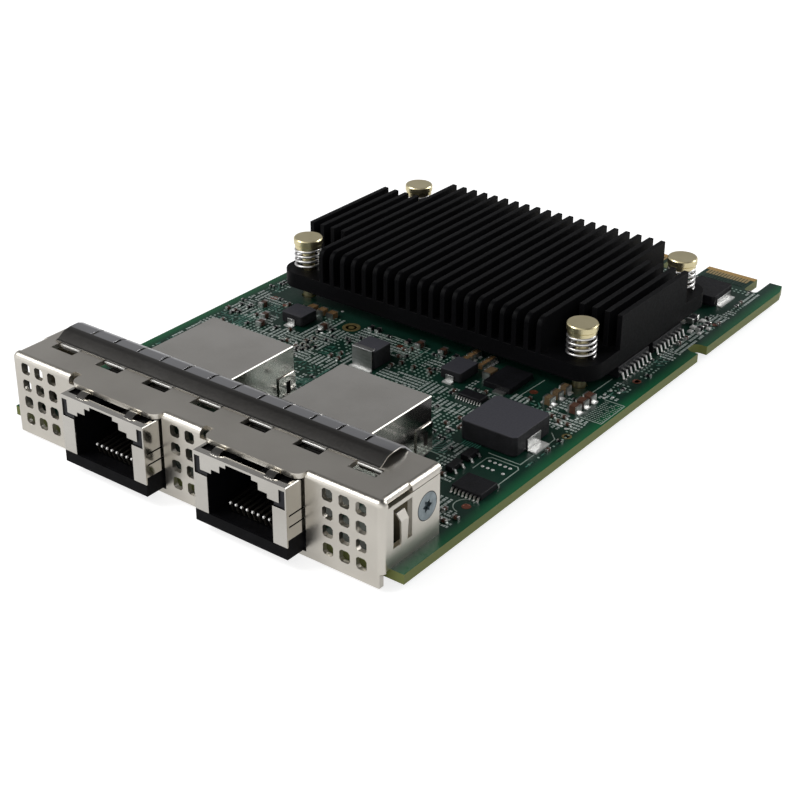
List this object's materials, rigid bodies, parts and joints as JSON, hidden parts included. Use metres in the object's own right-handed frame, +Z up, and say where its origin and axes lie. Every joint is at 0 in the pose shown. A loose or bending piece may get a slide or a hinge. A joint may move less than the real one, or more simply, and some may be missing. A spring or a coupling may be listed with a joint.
{
  "type": "ethernet adapter card",
  "caption": "Server network adapter card with metal-shielded cable ports in a vented folded faceplate, a black finned heat sink on sprung pins and a keyed gold edge connector.",
  "frame": {"origin": "middle of the card's width and length, on the plane that it rests on", "axes": "+X to the right seen from the faceplate, +Y from the faceplate to the edge connector, +Z up from the board's component side"},
  "size_m": [0.076, 0.12, 0.015],
  "materials": {
    "board": "satin solder mask over glass laminate",
    "contact_gold": "gold plating",
    "faceplate_steel": "satin nickel-plated sheet",
    "gasket_steel": "bright spring sheet",
    "screw_steel": "plated, satin",
    "block_brass": "nickel plated",
    "shield_steel": "tin-plated sheet",
    "port_plastic": "matt black moulding",
    "window_plastic": "dark clear moulding",
    "potting": "matt black potting",
    "solder": "bright solder",
    "sink_black": "black anodised",
    "pin_brass": "turned",
    "spring_steel": "drawn wire",
    "chip_black": "matt moulding",
    "pad_grey": "soft filled pad",
    "inductor_grey": "pressed iron powder, slate grey",
    "tinned_metal": "tinned",
    "ceramic_brown": "brown ceramic",
    "ceramic_tan": "tan ceramic",
    "resistor_black": "black glaze"
  },
  "bodies": {
    "root": {"circuit_board": "board", "edge_contacts_top": "contact_gold", "edge_contacts_bottom": "contact_gold", "faceplate": "faceplate_steel", "faceplate_screws": "screw_steel", "faceplate_blocks": "block_brass", "gasket_strip": "gasket_steel", "heat_sink": "sink_black", "push_pins": "pin_brass", "pin_springs": "spring_steel", "controller_chip": "chip_black", "thermal_pad": "pad_grey", "power_inductor": "inductor_grey", "power_inductor_terminals": "tinned_metal", "small_inductors": "inductor_grey", "small_inductor_terminals": "tinned_metal", "rear_capacitor": "chip_black", "rear_capacitor_terminals": "tinned_metal", "power_chip": "chip_black", "power_chip_tab": "tinned_metal", "regulator_chip": "chip_black", "regulator_leads": "tinned_metal", "driver_chip": "chip_black", "driver_leads": "tinned_metal", "line_chips": "chip_black", "line_chip_leads": "tinned_metal", "small_transistors": "chip_black", "transistor_legs": "tinned_metal", "brown_capacitors": "ceramic_brown", "tan_capacitors": "ceramic_tan", "capacitor_ends": "tinned_metal", "resistors": "resistor_black", "resistor_ends": "tinned_metal", "left_port_shield": "shield_steel", "left_port_housing": "port_plastic", "left_port_contacts": "contact_gold", "left_port_windows": "window_plastic", "left_port_transformers": "potting", "left_port_solder_joints": "solder", "right_port_shield": "shield_steel", "right_port_housing": "port_plastic", "right_port_contacts": "contact_gold", "right_port_windows": "window_plastic", "right_port_transformers": "potting", "right_port_solder_joints": "solder"}
  },
  "joints": []
}
